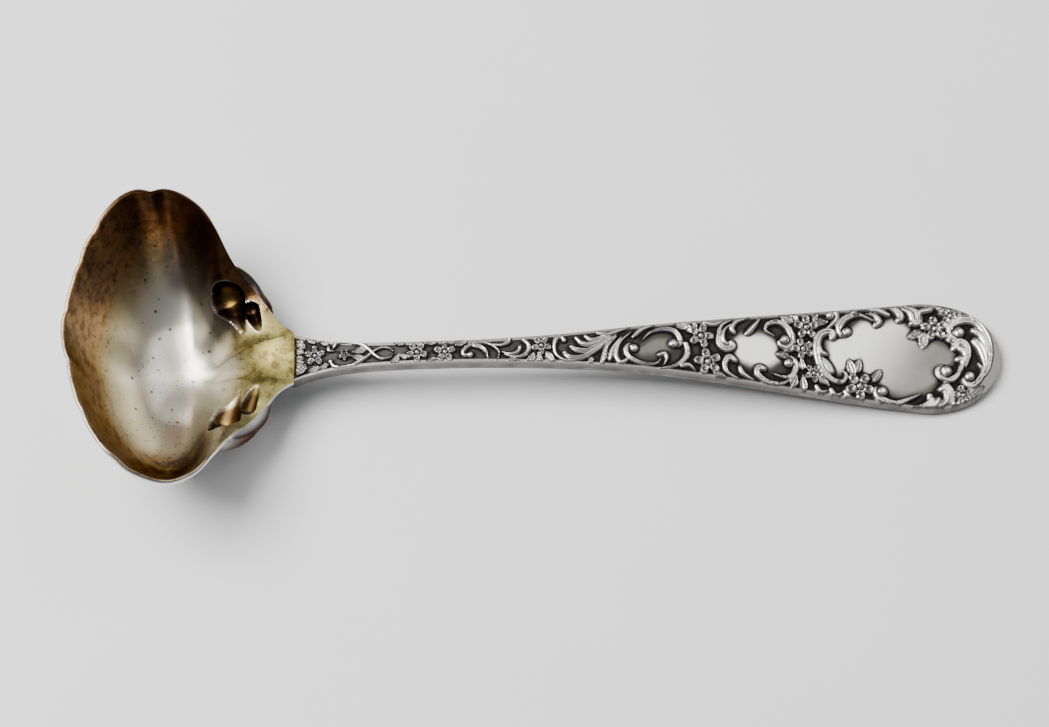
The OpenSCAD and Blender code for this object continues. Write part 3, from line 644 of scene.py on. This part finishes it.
def raise_flower(xy, height, s, t, radius, turn):
    middle = plan(s, t)
    for k in range(5):
        a = math.radians(turn + 72 * k)
        petal = middle + radius * 0.88 * np.array([math.cos(a), math.sin(a)])
        raise_petal(xy, height, petal, radius * 0.46, a)
    cut_ring(xy, height, middle, radius * 0.34)
    dome(xy, height, middle, radius * 0.34, RELIEF_H * 1.05)


def raise_leaf(xy, height, s, t, length, turn):
    middle = plan(s, t)
    a = math.radians(turn)
    near = near_box(xy, middle, middle, length)
    q = xy[near] - middle
    u = (q[:, 0] * math.cos(a) + q[:, 1] * math.sin(a)) / length
    v = (q[:, 1] * math.cos(a) - q[:, 0] * math.sin(a)) / length
    f = np.clip((u + 0.6) / 1.3, 0, 1)
    half = 0.36 * np.sin(np.pi * f ** 0.75) + 1e-6
    ratio = np.abs(v) / half
    veins = np.exp(-(ratio / 0.16) ** 2) + hump(ratio, 0.55, 0.95, 0.3)
    body = np.clip((1 - ratio) * 4, 0, 1) * (0.62 + 0.38 * np.clip(veins, 0, 1))
    inside_leaf = (u > -0.6) & (u < 0.7) & (ratio < 1)
    height[near] = np.maximum(height[near], np.where(inside_leaf, body * RELIEF_H * 0.85, 0))


def field_share(s, t, stations):
    """How far inside one plain field each place lies, 0 at its edge."""
    last = len(stations) - 1
    p = curve_at(stations, np.linspace(0, last, 8 * last + 1))
    low = np.interp(s, p[:, 0], p[:, 1])
    high = np.interp(s, p[:, 0], p[:, 2])
    w = side_w(s) / 100
    along = np.minimum(s - p[0, 0], p[-1, 0] - s) * HANDLE_L / 100
    across = np.minimum(t - low, high - t) * w
    return np.clip((np.minimum(along, across) + FIELD_REACH) / FIELD_SOFT, 0, 1)


def spread(values, gap_along, gap_across, reach, rounds=24):
    """Values of the handle's grid blurred over a reach in millimetres."""
    out = values.copy()
    along = min(reach ** 2 / (2 * rounds * gap_along ** 2), 0.25)
    across = np.minimum(reach ** 2 / (2 * rounds * gap_across ** 2), 0.25)[:, None]
    for _ in range(rounds):
        out[1:-1] += along * (out[2:] + out[:-2] - 2 * out[1:-1])
        out[:, 1:-1] += across * (out[:, 2:] + out[:, :-2] - 2 * out[:, 1:-1])
    return out


def edge_gap(s, y):
    """Distance in millimetres from places on the handle to its outline."""
    e = np.clip((s - SHOULDER_S) / (100 - SHOULDER_S), 0, 1)
    side = side_w(s)
    return side * (1 - ((np.abs(y) / side) ** END_POWER + e ** END_POWER) ** (1 / END_POWER))


def handle_stations():
    """Stations along the handle, drawn together in its round end."""
    turn = np.linspace(0, np.pi / 2, ROUND_STEPS + 1)[1:]
    round_end = SHOULDER_S + (100 - SHOULDER_S) * np.sin(turn) ** (2 / END_POWER)
    s = np.concatenate([np.linspace(0, SHOULDER_S, ALONG_STEPS - ROUND_STEPS), round_end])
    s[-1] = LAST_S
    return s


def carve(xy):
    """Height of scrolls, flowers and leaves above the ground, at places seen from above."""
    height = np.zeros(len(xy))
    for size, eye, places in SCROLLS:
        raise_line(xy, height, size, places)
        if eye:
            middle = plan(*places[0])
            if eye > RING_FROM:
                cut_ring(xy, height, middle, eye * EYE_SPREAD)
            dome(xy, height, middle, eye * EYE_SPREAD, RELIEF_H * 1.1, EYE_DENT)
    for flower in FLOWERS:
        raise_flower(xy, height, *flower)
    for leaf in LEAVES:
        raise_leaf(xy, height, *leaf)
    return height


def heel_rings(first):
    """Rings of the handle's root inside the wall of the neck, made from the handle's first ring."""
    middle = np.array([[NECK_X, 0, NECK_H, NECK_LEAN, NECK_H, NECK_FLOOR]])
    heel = []
    for f in HEEL_STEPS:
        p = inside(middle, mix(HEEL_FROM, 1, f))[0]
        ring = first.copy()
        ring[:, 0] = p[0]
        ring[:, 1] *= mix(*HEEL_W, f)
        ring[:, 2] = p[2] - WALL / 2 + np.minimum(first[:, 2] - NECK_H, 0) * f
        heel.append(ring)
    return np.stack(heel)


def build_handle():
    """Points, faces and masks of the handle."""
    s = handle_stations()
    count = ACROSS_STEPS + 1
    wide = edge_w(s)
    z = ground(s)
    carved = wide * (1 - np.clip(BEVEL_W / np.maximum(wide, BEVEL_W), 0, BEVEL_PART))
    flat = np.linspace(-1, 1, count)[None, :] * carved[:, None]
    x = np.repeat(handle_x(s)[:, None], count, axis=1)
    ss = np.repeat(s[:, None], count, axis=1)
    t_flat = flat / np.maximum(side_w(s), 1e-6)[:, None] * 100

    height = carve(np.stack([x.ravel(), flat.ravel()], axis=1)).reshape(x.shape)
    plain = np.zeros_like(height)
    worn = np.zeros_like(height)
    for stations, wear in zip(FIELDS, FIELD_WEAR):
        share = smooth(field_share(ss, t_flat, stations))
        plain = np.maximum(plain, share)
        worn = np.maximum(worn, wear * share)
    rim_gap = np.minimum(1, (carved[:, None] - np.abs(flat)) / EDGE_FADE)
    height = height * smooth(0.25 + 0.75 * rim_gap) * smooth(ss / 0.5)
    raised = height / RELIEF_H
    halo = spread(np.clip(raised * 3, 0, 1), HANDLE_L / ALONG_STEPS, 2 * wide / ACROSS_STEPS, HALO_REACH)
    height = np.maximum(height, plain * FIELD_H)
    tip_share = np.clip((ss - SHOULDER_S) / (100 - SHOULDER_S), 0, 1)
    border_w = mix(SIDE_BORDER, TIP_BORDER, smooth(tip_share))
    border = smooth((border_w - edge_gap(ss, flat)) / EDGE_FADE + 0.5)
    height = np.maximum(height, border * BORDER_H)

    top = np.stack([x, flat, z[:, None] + height], axis=2)
    under = [np.stack([handle_x(s), part * wide, z + down * thick(s)], axis=1)
             for part, down in HANDLE_SECTION]
    rings = np.concatenate([top, np.stack(under, axis=1)], axis=1)
    rings = np.concatenate([heel_rings(rings[0]), rings])
    m, n = rings.shape[:2]
    faces = np.concatenate([grid_faces(k * n, (k + 1) * n, n) for k in range(m - 1)]).tolist()
    faces += [list(range(n - 1, -1, -1)), list(range((m - 1) * n, m * n))]

    def masks(values, rest):
        full = np.full((m, n), rest, float)
        full[m - len(s):, :count] = values
        return full.ravel()
    named = {"raised": masks(raised, 0.0), "worn": masks(worn, 0.0), "halo": masks(halo, 0.0),
             "border": masks(border, 1.0), "side": masks(np.zeros_like(border), 1.0)}
    return rings.reshape(-1, 3), faces, named


def make_piece(name, points, faces, masks):
    """A mesh object in metres, with its masks for the material."""
    mesh = bpy.data.meshes.new(name)
    mesh.from_pydata((points * MM).tolist(), [], faces)
    mesh.flip_normals()
    mesh.validate()
    for mask, values in masks.items():
        attribute = mesh.attributes.new(mask, "FLOAT", "POINT")
        attribute.data.foreach_set("value", np.asarray(values, np.float32))
    mesh.shade_smooth()
    mesh.set_sharp_from_angle(angle=math.radians(55))
    mesh.update()
    piece = bpy.data.objects.new(name, mesh)
    bpy.context.scene.collection.objects.link(piece)
    return piece


def make_node(tree, kind, inputs=None, **settings):
    """A node with its settings and inputs; an input may be a value or another node's output."""
    made = tree.nodes.new(kind)
    for name, value in settings.items():
        setattr(made, name, value)
    for name, value in (inputs or {}).items():
        if isinstance(value, bpy.types.NodeSocket):
            tree.links.new(value, made.inputs[name])
        else:
            made.inputs[name].default_value = value
    return made


class Shader:
    """Short names for the nodes of one material."""

    def __init__(self, name):
        self.material = bpy.data.materials.new(name)
        self.material.use_nodes = True
        self.tree = self.material.node_tree
        self.tree.nodes.clear()
        self.place = make_node(self.tree, "ShaderNodeTexCoord").outputs["Object"]

    def mask(self, name):
        return make_node(self.tree, "ShaderNodeAttribute", attribute_name=name).outputs["Fac"]

    def axis(self, name):
        parts = make_node(self.tree, "ShaderNodeSeparateXYZ", {"Vector": self.place})
        return parts.outputs[name]

    def math(self, how, a, b=0.0, clamp=False):
        return make_node(self.tree, "ShaderNodeMath", {0: a, 1: b}, operation=how, use_clamp=clamp).outputs[0]

    def ramp(self, value, low, high, out_low=0.0, out_high=1.0):
        return make_node(
            self.tree, "ShaderNodeMapRange",
            {"Value": value, "From Min": low, "From Max": high, "To Min": out_low, "To Max": out_high},
            interpolation_type="SMOOTHSTEP",
        ).outputs[0]

    def blend(self, share, first, second):
        """The second colour laid over the first by a share."""
        made = make_node(self.tree, "ShaderNodeMix", {0: share}, data_type="RGBA")
        for socket, value in ((made.inputs[6], first), (made.inputs[7], second)):
            if isinstance(value, bpy.types.NodeSocket):
                self.tree.links.new(value, socket)
            else:
                socket.default_value = (*value, 1)
        return made.outputs[2]

    def wavering(self, name, shift):
        """A mask whose edge wavers by the given shift."""
        mask = self.mask(name)
        inside_edge = self.math("MULTIPLY", self.ramp(mask, 0.0, 0.2), shift)
        return self.math("ADD", mask, inside_edge, clamp=True)

    def noise(self, scale, detail=3.0, rough=0.5, place=None):
        return make_node(
            self.tree, "ShaderNodeTexNoise",
            {"Vector": place or self.place, "Scale": scale, "Detail": detail, "Roughness": rough},
        ).outputs["Fac"]

    def scratches(self):
        """Fine lines, all nearly in one direction."""
        stretched = make_node(self.tree, "ShaderNodeMapping",
                              {"Vector": self.place, "Scale": (30, 420, 60), "Rotation": (0, 0, 0.6)})
        return self.noise(40, 6, 0.7, stretched.outputs[0])

    def spots(self, scale):
        """Distance to the nearest of many scattered points."""
        made = make_node(self.tree, "ShaderNodeTexVoronoi", {"Vector": self.place, "Scale": scale})
        return made.outputs["Distance"]

    def finish(self, color, metallic, roughness, height, strength=0.3, distance=0.0001, tint=(1, 1, 1, 1)):
        bump = make_node(self.tree, "ShaderNodeBump",
                         {"Height": height, "Strength": strength, "Distance": distance}).outputs[0]
        surface = make_node(
            self.tree, "ShaderNodeBsdfPrincipled",
            {"Base Color": color, "Metallic": metallic, "Roughness": roughness, "Normal": bump,
             "Specular Tint": tint})
        out = make_node(self.tree, "ShaderNodeOutputMaterial")
        self.tree.links.new(surface.outputs[0], out.inputs[0])
        return self.material


# Colours of the handle: bright relief, fields with a painted shade towards the tip, border, sides in a
# painted dark reflection, flanks of the relief and ground
SILVER = (0.68, 0.67, 0.65)
SATIN = (0.93, 0.92, 0.88)
WORN_AND_SHADE_GREY = (0.11, 0.107, 0.085)
BORDER_GREY = (0.21, 0.20, 0.19)
SIDE_DARK_REFLECTION = (0.07, 0.065, 0.062)
SIDE_LIGHT = (0.18, 0.17, 0.16)
FLANK = (0.20, 0.19, 0.18)
GROUND_GREY = (0.045, 0.043, 0.041)
BLACK = (0.012, 0.011, 0.011)
# Colours of the bowl: gilding from the worn floor to the neck, stains on the walls mixed with painted shade
# and reflection, painted shade in the hollows, the outside
PALE_GILT = (0.60, 0.58, 0.49)
DULL_GILT = (0.38, 0.335, 0.235)
GREEN_GILT = (0.28, 0.245, 0.075)
DEEP_GREEN = (0.145, 0.118, 0.032)
PALE_GREEN = (0.62, 0.58, 0.36)
GILT = (0.42, 0.33, 0.16)
LIGHT_GOLD = (0.58, 0.33, 0.15)
BAND_GOLD = (0.32, 0.225, 0.145)
BAND_DARK = (0.16, 0.10, 0.055)
OLIVE = (0.22, 0.14, 0.035)
SHOULDER = (0.24, 0.20, 0.17)
BROWN = (0.14, 0.060, 0.020)
DARK_BROWN = (0.060, 0.026, 0.012)
DARKEST_REFLECTION_AND_TARNISH = (0.020, 0.008, 0.005)
DULL = (0.42, 0.38, 0.32)
TARNISH = (0.055, 0.030, 0.022)
HOLLOW_SHADE = (0.024, 0.012, 0.006)
HOLLOW_GOLD = (0.11, 0.066, 0.019)
HOLLOW_LIGHT = (0.24, 0.15, 0.045)
# Tints of what the stained walls and the hollows reflect at a grazing angle
SOOTY = (0.42, 0.35, 0.27)
HOLLOW_TINT = (0.10, 0.07, 0.05)

# Studio: floor, surroundings, lights and camera, in metres, watts and degrees; the focal
# length is in pixels of the photo's width
FLOOR_HALF = 0.9
FLOOR_Z = -0.00005
FLOOR_TONES = ((0.78, 0.78, 0.77), (0.80, 0.80, 0.79))
SKY = (0.92, 0.94, 1.0)
SKY_STRENGTH = 0.26
# Name, place, what it points at, size, power
LIGHTS = [
    ("key", (-0.30, 0.064, 0.54), (-0.04, 0, 0), (0.36, 0.36), 8.5),
    ("fill", (0.24, 0.19, 0.47), (0, 0, 0), (0.32, 0.32), 0.95),
]
CAMERA_AZIMUTH = -1.65
CAMERA_ELEVATION = 68.5
CAMERA_DISTANCE = 0.360
CAMERA_TARGET = (-0.0025, -0.001036, 0.006)
SENSOR_MM = 36
FOCAL_PIXELS = 2600
PHOTO_PIXELS = 1049


def handle_material():
    """Silver with a blackened ground, bright relief and satin fields."""
    m = Shader("carved_silver")
    fine = m.noise(900, 4)
    broad = m.noise(90, 4)
    patches = m.noise(260, 5, 0.6)
    x = m.axis("X")
    raised = m.math("ADD", m.mask("raised"), m.math("MULTIPLY", m.math("SUBTRACT", fine, 0.5), 0.1))
    halo = m.mask("halo")

    # Open ground is grey, and black close to the relief
    open_ground = m.math("MULTIPLY", m.ramp(halo, 0.02, 0.3, 1.0, 0.0), m.ramp(patches, 0.3, 0.7, 0.5, 1.0))
    color = m.blend(open_ground, BLACK, GROUND_GREY)
    # Painted shade, partly tarnish: the large field darkens towards the tip and towards -Y
    toward_tip = m.math("SUBTRACT", x, m.math("MULTIPLY", m.axis("Y"), 0.6))
    shade_toward_tip = m.ramp(toward_tip, *(part * TIP_X * MM for part in FIELD_SHADE_SPAN))
    shade_and_tarnish = m.math("MULTIPLY", shade_toward_tip, m.ramp(broad, 0.3, 0.6, 0.85, 1.0))
    satin = m.blend(shade_and_tarnish, SATIN, WORN_AND_SHADE_GREY)
    clear = m.ramp(halo, 0.05, 0.45, 1.0, 0.0)
    worn = m.math("MULTIPLY", m.mask("worn"), clear)
    color = m.blend(m.ramp(worn, 0.0, 0.3), color, WORN_AND_SHADE_GREY)
    color = m.blend(m.ramp(worn, 0.2, 0.95), color, satin)
    color = m.blend(m.mask("border"), color, BORDER_GREY)
    # Painted reflection: the sides and back are painted nearly black as a dark reflection, with lighter
    # patches
    color = m.blend(m.mask("side"), color, m.blend(m.ramp(patches, 0.35, 0.7), SIDE_DARK_REFLECTION, SIDE_LIGHT))
    color = m.blend(m.ramp(raised, 0.1, 0.5), color, FLANK)
    bright = m.ramp(raised, 0.45, 0.92)
    color = m.blend(bright, color, SILVER)
    # A breath of gilt runs over onto the first motifs
    to_neck = m.ramp(x, NECK_X * MM, NECK_X * MM + 0.003, 0.6, 0.0)
    color = m.blend(to_neck, color, m.blend(bright, BLACK, PALE_GREEN))
    rough = m.math("SUBTRACT", 0.42, m.math("MULTIPLY", bright, 0.2))
    height = m.math("ADD", m.math("MULTIPLY", fine, 0.5), m.math("MULTIPLY", m.scratches(), 0.5))
    return m.finish(color, 1.0, rough, height, 0.2, 0.0001)


def bowl_material():
    """Gilt inside, worn to silver on the floor and brown up the walls; silver outside."""
    m = Shader("gilt_bowl")
    fine = m.noise(900, 4)
    broad = m.noise(90, 4)
    patches = m.noise(260, 5, 0.6)
    grain = m.noise(700, 5, 0.7)
    x = m.axis("X")
    shift = m.math("MULTIPLY", m.math("SUBTRACT", broad, 0.5), 0.2)
    up = m.math("ADD", m.mask("up_wall"), shift)
    inner = m.blend(m.ramp(up, 0.36, 0.7), PALE_GILT, GILT)
    across = m.math("ADD", m.axis("Y"), m.math("MULTIPLY", shift, 0.02))
    inner = m.blend(m.ramp(across, *DULL_ACROSS, 0.65, 0.0), inner, DULL_GILT)

    # The front band is golden brown, partly the gilt and partly painted shade and reddish reflection; the far
    # wall is the darkest, tarnish with a painted reflection of dark surroundings; the neck grainy green gold
    # Partly the gilt's tone, partly painted shade and reddish reflection: the front band, darker towards the
    # -Y side
    gold = m.blend(m.mask("sooty"), LIGHT_GOLD, BAND_GOLD)
    band = m.blend(m.ramp(grain, 0.42, 0.64, 0.0, 0.7), gold, BAND_DARK)
    inner = m.blend(m.wavering("front", shift), inner, band)
    inner = m.blend(m.wavering("blotch", shift), inner, m.blend(m.ramp(grain, 0.42, 0.56), OLIVE, DARK_BROWN))
    # Painted reflection: a grey band down the wall beside the neck on the +Y side
    inner = m.blend(m.wavering("grey", shift), inner, SHOULDER)
    # Tarnish and painted reflection of dark surroundings: the far wall is brown, darkest near its top
    far = m.blend(m.ramp(grain, 0.42, 0.62), BROWN, DARK_BROWN)
    inner = m.blend(m.wavering("far", shift), inner, far)
    inner = m.blend(m.wavering("darkest_reflection_and_tarnish", shift), inner, DARKEST_REFLECTION_AND_TARNISH)
    to_neck = m.ramp(m.math("ADD", x, m.math("MULTIPLY", shift, 0.02)), *GREEN_ALONG)
    to_neck = m.math("MULTIPLY", to_neck, m.ramp(across, *GREEN_ACROSS, 1.0, 0.0))
    neck_tone = m.blend(m.ramp(grain, 0.42, 0.62), GREEN_GILT, DEEP_GREEN)
    inner = m.blend(m.math("MULTIPLY", to_neck, 0.9), inner, neck_tone)
    neck_end = m.math("ADD", x, m.math("MULTIPLY", m.math("SUBTRACT", grain, 0.5), 0.004))
    inner = m.blend(m.ramp(neck_end, NECK_X * MM - 0.0006, NECK_X * MM, 0.0, 0.8), inner, DEEP_GREEN)
    mottled = m.math("MULTIPLY", m.ramp(grain, 0.5, 0.66), m.ramp(up, 0.4, 0.7))
    inner = m.blend(m.math("MULTIPLY", mottled, 0.4), inner, DARK_BROWN)

    # Hollows carry a painted shade: dark inside, golden only at the deepest middle of the large ones, a
    # little lighter on the -Y side, with a painted highlight line along the -X side of the edge
    sunk = m.mask("sunk")
    hollow = m.blend(m.ramp(sunk, 1.3, 2.2), HOLLOW_SHADE, HOLLOW_GOLD)
    hollow = m.blend(m.ramp(m.axis("Y"), -0.003, 0.003, 0.12, 0.0), hollow, HOLLOW_LIGHT)
    in_hollow = m.ramp(sunk, 0.0, 0.65)
    inner = m.blend(in_hollow, inner, hollow)
    # Painted highlight: a bright silver line along the -X side of each hollow's edge
    highlight_line = m.math("MULTIPLY", m.mask("hollow_edge_highlight"), m.ramp(sunk, 0.0, 0.1, 0.7, 0.0))
    inner = m.blend(highlight_line, inner, SILVER)

    # Dark pits, large ones few and small ones in crowds
    large = m.ramp(m.spots(620), 0.08, 0.2, 1.0, 0.0)
    small = m.ramp(m.spots(1300), 0.1, 0.24, 1.0, 0.0)
    pits = m.math("MULTIPLY", large, m.ramp(m.noise(230, 2), 0.48, 0.56))
    pits = m.math("MAXIMUM", pits, m.math("MULTIPLY", small, m.ramp(broad, 0.5, 0.6)))
    inner = m.blend(m.math("MULTIPLY", pits, 0.85), inner, DARK_BROWN)

    outer = m.blend(m.ramp(patches, 0.45, 0.75, 0.0, 0.5), SILVER, DULL)
    tarnish = m.math("MULTIPLY", m.mask("tarnish"), m.ramp(patches, 0.2, 0.6, 0.85, 1.0))
    outer = m.blend(tarnish, outer, TARNISH)
    color = m.blend(m.ramp(m.mask("gilt"), 0.4, 0.6), outer, inner)

    rough = m.math("ADD", m.ramp(up, 0.3, 0.7, 0.35, 0.26), m.math("MULTIPLY", to_neck, 0.24))
    height = m.math("ADD", m.math("MULTIPLY", fine, 0.5), m.math("MULTIPLY", m.scratches(), 0.5))
    height = m.math("ADD", height, m.math("MULTIPLY", m.math("MULTIPLY", grain, to_neck), 1.5))
    height = m.math("SUBTRACT", height, m.math("MULTIPLY", pits, 0.8))
    tint = m.blend(m.mask("sooty"), (1, 1, 1), SOOTY)
    tint = m.blend(in_hollow, tint, HOLLOW_TINT)
    return m.finish(color, 1.0, rough, height, 0.25, 0.00012, tint)


def floor_material():
    """Pale and matt, hardly mottled."""
    m = Shader("floor")
    tone = m.blend(m.ramp(m.noise(30, 3), 0.3, 0.7), *FLOOR_TONES)
    return m.finish(tone, 0.0, 0.7, m.noise(600, 2), 0.05)


def make_stage():
    corners = [(-1, -1), (1, -1), (1, 1), (-1, 1)]
    mesh = bpy.data.meshes.new("floor")
    mesh.from_pydata([(x * FLOOR_HALF, y * FLOOR_HALF, FLOOR_Z) for x, y in corners], [], [(0, 1, 2, 3)])
    floor = bpy.data.objects.new("floor", mesh)
    bpy.context.scene.collection.objects.link(floor)
    mesh.materials.append(floor_material())

    world = bpy.data.worlds.new("studio")
    world.use_nodes = True
    background = world.node_tree.nodes["Background"]
    background.inputs["Color"].default_value = (*SKY, 1)
    background.inputs["Strength"].default_value = SKY_STRENGTH
    bpy.context.scene.world = world


def add_light(name, place, target, size, power):
    data = bpy.data.lights.new(name, "AREA")
    data.shape = "RECTANGLE"
    data.size, data.size_y = size
    data.energy = power
    light = bpy.data.objects.new(name, data)
    light.location = place
    light.rotation_euler = (Vector(target) - Vector(place)).to_track_quat("-Z", "Y").to_euler()
    bpy.context.scene.collection.objects.link(light)


def make_camera():
    azimuth = math.radians(CAMERA_AZIMUTH)
    elevation = math.radians(CAMERA_ELEVATION)
    back = Vector((math.sin(azimuth) * math.cos(elevation), -math.cos(azimuth) * math.cos(elevation),
                   math.sin(elevation)))
    right = Vector((math.cos(azimuth), math.sin(azimuth), 0))
    up = back.cross(right)
    data = bpy.data.cameras.new("camera")
    data.sensor_width = SENSOR_MM
    data.sensor_fit = "HORIZONTAL"
    data.lens = SENSOR_MM * FOCAL_PIXELS / PHOTO_PIXELS
    data.clip_start = 0.01
    camera = bpy.data.objects.new("camera", data)
    turn = Matrix((right, up, back)).transposed().to_4x4()
    camera.matrix_world = Matrix.Translation(Vector(CAMERA_TARGET) + CAMERA_DISTANCE * back) @ turn
    bpy.context.scene.collection.objects.link(camera)
    bpy.context.scene.camera = camera


bowl = make_piece("ladle_bowl", *build_bowl()), bowl_material()
handle = make_piece("ladle_handle", *build_handle()), handle_material()
for piece, material in (bowl, handle):
    piece.data.materials.append(material)
    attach(piece, "root")
    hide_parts("ladle")

make_stage()
for light in LIGHTS:
    add_light(*light)
make_camera()
